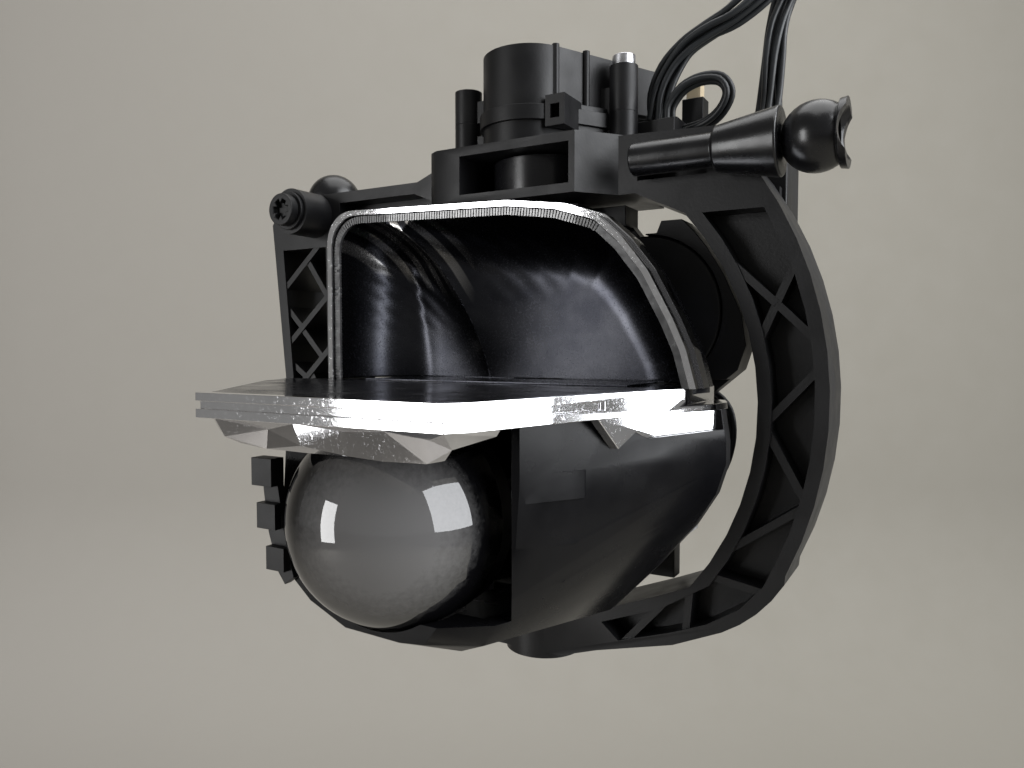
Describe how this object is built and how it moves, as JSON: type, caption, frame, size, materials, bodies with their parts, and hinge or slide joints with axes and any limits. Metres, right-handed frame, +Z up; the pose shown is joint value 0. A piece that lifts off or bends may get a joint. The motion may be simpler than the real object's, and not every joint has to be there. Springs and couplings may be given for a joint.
{
  "type": "fog light module",
  "caption": "Swivelling fog light projector with reflector and shelf, in a ribbed carrier frame with actuator, ball socket and wiring loop.",
  "frame": {"origin": "mouth of the lower locating bore, on the swivel axis", "axes": "+Z up the swivel axis, -Y the way the light leaves, +X to the right of somebody facing the lens"},
  "size_m": [0.1467, 0.1141, 0.1585],
  "materials": {
    "frame_black": "grained black moulding",
    "satin_black": "satin black moulding",
    "gloss_black": "slightly glossy black moulding",
    "steel": "zinc-plated steel",
    "bush_plastic": "natural acetal",
    "gear_plastic": "white acetal",
    "beige_plastic": "beige connector lock",
    "board": "solder-masked board",
    "chip": "phosphor",
    "bright_chrome": "bright metallised plastic",
    "dark_chrome": "smoked metallised plastic",
    "lens_glass": "polished glass",
    "light_guide": "clear moulded guide",
    "aluminium": "die-cast aluminium",
    "wire": "black wire insulation"
  },
  "bodies": {
    "frame": {"carrier_frame": "frame_black", "lower_bush": "bush_plastic", "upper_bush": "bush_plastic", "actuator_base": "satin_black", "actuator_cover": "satin_black", "actuator_bolts": "steel", "motor_can": "steel", "actuator_board": "board", "actuator_plug": "satin_black", "plug_latch": "beige_plastic", "socket_rod": "gloss_black", "ball_socket": "gloss_black", "pivot_ball": "gloss_black", "pivot_screw": "satin_black", "pivot_washer": "satin_black", "rear_connector": "satin_black", "wire_harness": "wire", "wire_loop": "wire"},
    "module": {"output_drum": "gloss_black", "module_housing": "satin_black", "lower_trunnion": "steel", "reflector": "dark_chrome", "reflector_rim": "bright_chrome", "light_guide": "light_guide", "shelf_plate": "dark_chrome", "shelf_bezel": "bright_chrome", "front_skirt": "bright_chrome", "lens": "lens_glass", "lens_retainer": "satin_black", "louvre_ring": "gloss_black", "shroud": "gloss_black", "projector_reflector": "bright_chrome", "led_boards": "board", "led_chips": "chip", "cutoff_shade": "steel", "rear_bulkhead": "satin_black", "heat_sink": "aluminium", "fan_housing": "satin_black", "module_screws": "steel", "module_lead": "wire"},
    "idler": {"idler_gear": "gear_plastic"},
    "motor": {"motor_pinion": "steel"},
    "fan": {"fan_rotor": "satin_black"}
  },
  "joints": [
    {"name": "swivel", "type": "hinge", "parent": "frame", "child": "module", "pos_m": [0, 0, 0.05], "axis": [0, 0, 1], "range_deg": [-10, 10]},
    {"name": "idler_spin", "type": "hinge", "parent": "frame", "child": "idler", "pos_m": [0.00167, 0.00945, 0.12], "axis": [0, 0, 1], "range_deg": [-28.1, 28.1]},
    {"name": "motor_spin", "type": "hinge", "parent": "frame", "child": "motor", "pos_m": [0.00615, 0.01906, 0.12], "axis": [0, 0, 1], "range_deg": [-90, 90]},
    {"name": "fan_spin", "type": "hinge", "parent": "module", "child": "fan", "pos_m": [0, 0.03, 0.057], "axis": [0, 1, 0], "continuous": true}
  ],
  "couplings": [
    {"joint": "idler_spin", "follows": "swivel", "ratio": -2.8},
    {"joint": "motor_spin", "follows": "swivel", "ratio": 8.96}
  ]
}
